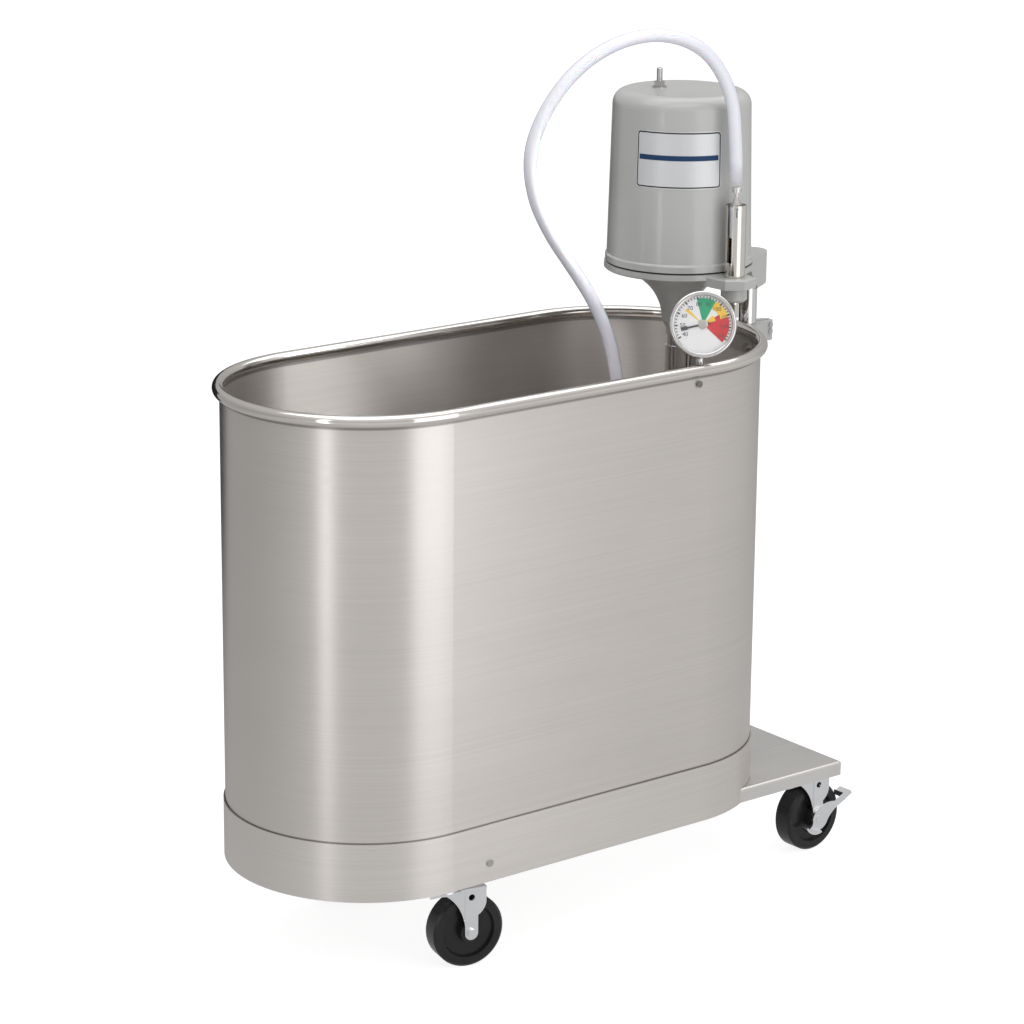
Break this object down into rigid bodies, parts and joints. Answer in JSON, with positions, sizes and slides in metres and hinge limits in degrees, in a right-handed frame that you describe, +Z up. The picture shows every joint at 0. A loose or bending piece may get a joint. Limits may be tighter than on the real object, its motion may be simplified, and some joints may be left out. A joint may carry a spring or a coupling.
{
  "type": "hydrotherapy leg tub",
  "caption": "Stadium-shaped stainless tub on swivel casters, with a lifting and swinging water turbine, a dial thermometer, a hose and a floor drain.",
  "frame": {"origin": "on the ground, under the middle of the whole footprint without the hose", "axes": "+X towards the turbine's end of the tank, +Y away from the thermometer's side, +Z up"},
  "size_m": [0.9768, 0.413, 1.2134],
  "materials": {
    "brushed_steel": "brushed stainless steel, grain along the band",
    "structure_steel": "plain stainless steel, mill finish",
    "screws": "polished stainless fasteners",
    "zinc": "bright zinc plate on pressed steel",
    "wheel_rubber": "black hard rubber, satin",
    "drain_brass": "nickel-plated brass",
    "chrome": "polished chrome plate",
    "clip_steel": "spring steel",
    "dial_enamel": "white enamel with coloured bands",
    "lens_glass": "clear glass",
    "pointer_black": "black paint",
    "grey_casting": "grey gloss enamel on aluminium castings",
    "gasket_rubber": "black rubber",
    "bush_bronze": "bearing bronze",
    "motor_steel": "electrical steel and bearing steel",
    "hose_vinyl": "clear milky vinyl"
  },
  "bodies": {
    "tub": {"tank_shell": "brushed_steel", "base_skirt": "brushed_steel", "skirt_screws": "screws", "platform": "brushed_steel", "platform_channel": "structure_steel", "front_channel": "structure_steel", "rear_saddle": "structure_steel", "drain_body": "drain_brass", "drain_nut": "drain_brass", "thermometer_case": "chrome", "thermometer_dial": "dial_enamel", "thermometer_lens": "lens_glass", "thermometer_stem": "chrome", "thermometer_clip": "clip_steel", "clip_screw": "screws", "post_bracket": "grey_casting", "clamp_screws": "screws", "bracket_bolts": "screws", "backing_strip": "structure_steel", "caster_plates": "zinc", "caster_kingpins": "zinc"},
    "stopper": {"drain_stopper": "drain_brass"},
    "pointer": {"thermometer_pointer": "pointer_black"},
    "lift": {"post": "chrome", "stop_collar": "chrome"},
    "turbine": {"turbine_casting": "grey_casting", "post_bush": "bush_bronze", "cord_gland": "gasket_rubber", "boss_plug": "screws", "motor_cover": "grey_casting", "cover_gasket": "gasket_rubber", "cover_stud": "screws", "cover_nut": "screws", "motor_stator": "motor_steel", "bearing_bridge": "motor_steel", "motor_bearings": "motor_steel", "column_tube": "structure_steel", "column_nut": "chrome", "riser_tube": "structure_steel", "pump_housing": "structure_steel", "hose_nipple": "chrome", "hose": "hose_vinyl"},
    "rotor": {"motor_rotor": "motor_steel", "motor_shaft": "structure_steel", "impeller": "structure_steel"},
    "sleeve": {"valve_sleeve": "chrome"},
    "left_front_swivel": {"left_front_fork": "zinc", "left_front_axle": "zinc"},
    "left_front_roll": {"left_front_wheel": "wheel_rubber"},
    "left_back_swivel": {"left_back_fork": "zinc", "left_back_axle": "zinc"},
    "left_back_roll": {"left_back_wheel": "wheel_rubber"},
    "right_front_swivel": {"right_front_fork": "zinc", "right_front_axle": "zinc"},
    "right_front_roll": {"right_front_wheel": "wheel_rubber"},
    "right_front_brake": {"right_front_brake_lever": "zinc"},
    "right_back_swivel": {"right_back_fork": "zinc", "right_back_axle": "zinc"},
    "right_back_roll": {"right_back_wheel": "wheel_rubber"},
    "right_back_brake": {"right_back_brake_lever": "zinc"}
  },
  "joints": [
    {"name": "turbine_lift", "type": "slide", "parent": "tub", "child": "lift", "axis": [0, 0, 1], "range_m": [-0.015, 0.15]},
    {"name": "turbine_swing", "type": "hinge", "parent": "lift", "child": "turbine", "pos_m": [0.374, 0, 0.8], "axis": [0, 0, 1], "range_deg": [-20, 20]},
    {"name": "rotor_spin", "type": "hinge", "parent": "turbine", "child": "rotor", "pos_m": [0.243, 0, 0.9], "axis": [0, 0, 1], "continuous": true},
    {"name": "sleeve_turn", "type": "hinge", "parent": "turbine", "child": "sleeve", "pos_m": [0.241, -0.119, 0.9], "axis": [0, 0, 1], "range_deg": [-60, 60]},
    {"name": "pointer_turn", "type": "hinge", "parent": "tub", "child": "pointer", "pos_m": [0.133, -0.18, 0.832], "axis": [-0.5919, -0.7579, 0.2744], "range_deg": [-236, 20]},
    {"name": "stopper_lift", "type": "slide", "parent": "tub", "child": "stopper", "axis": [0, 0, 1], "range_m": [0, 0.025]},
    {"name": "left_front_turn", "type": "hinge", "parent": "tub", "child": "left_front_swivel", "pos_m": [-0.268, -0.138, 0.11], "axis": [0, 0, 1], "continuous": true},
    {"name": "left_front_spin", "type": "hinge", "parent": "left_front_swivel", "child": "left_front_roll", "pos_m": [-0.23377, -0.14528, 0.0508], "axis": [0.2079, 0.9781, 0], "continuous": true},
    {"name": "left_back_turn", "type": "hinge", "parent": "tub", "child": "left_back_swivel", "pos_m": [-0.268, 0.138, 0.11], "axis": [0, 0, 1], "continuous": true},
    {"name": "left_back_spin", "type": "hinge", "parent": "left_back_swivel", "child": "left_back_roll", "pos_m": [-0.23334, 0.14287, 0.0508], "axis": [-0.1392, 0.9903, 0], "continuous": true},
    {"name": "right_front_turn", "type": "hinge", "parent": "tub", "child": "right_front_swivel", "pos_m": [0.386, -0.107, 0.11], "axis": [0, 0, 1], "continuous": true},
    {"name": "right_front_spin", "type": "hinge", "parent": "right_front_swivel", "child": "right_front_roll", "pos_m": [0.42098, -0.10578, 0.0508], "axis": [-0.0349, 0.9994, 0], "continuous": true},
    {"name": "right_front_brake_press", "type": "hinge", "parent": "right_front_swivel", "child": "right_front_brake", "pos_m": [0.42098, -0.10578, 0.0508], "axis": [-0.0349, 0.9994, 0], "range_deg": [0, 18]},
    {"name": "right_back_turn", "type": "hinge", "parent": "tub", "child": "right_back_swivel", "pos_m": [0.386, 0.107, 0.11], "axis": [0, 0, 1], "continuous": true},
    {"name": "right_back_spin", "type": "hinge", "parent": "right_back_swivel", "child": "right_back_roll", "pos_m": [0.42081, 0.10334, 0.0508], "axis": [0.1045, 0.9945, 0], "continuous": true},
    {"name": "right_back_brake_press", "type": "hinge", "parent": "right_back_swivel", "child": "right_back_brake", "pos_m": [0.42081, 0.10334, 0.0508], "axis": [0.1045, 0.9945, 0], "range_deg": [0, 18]}
  ]
}
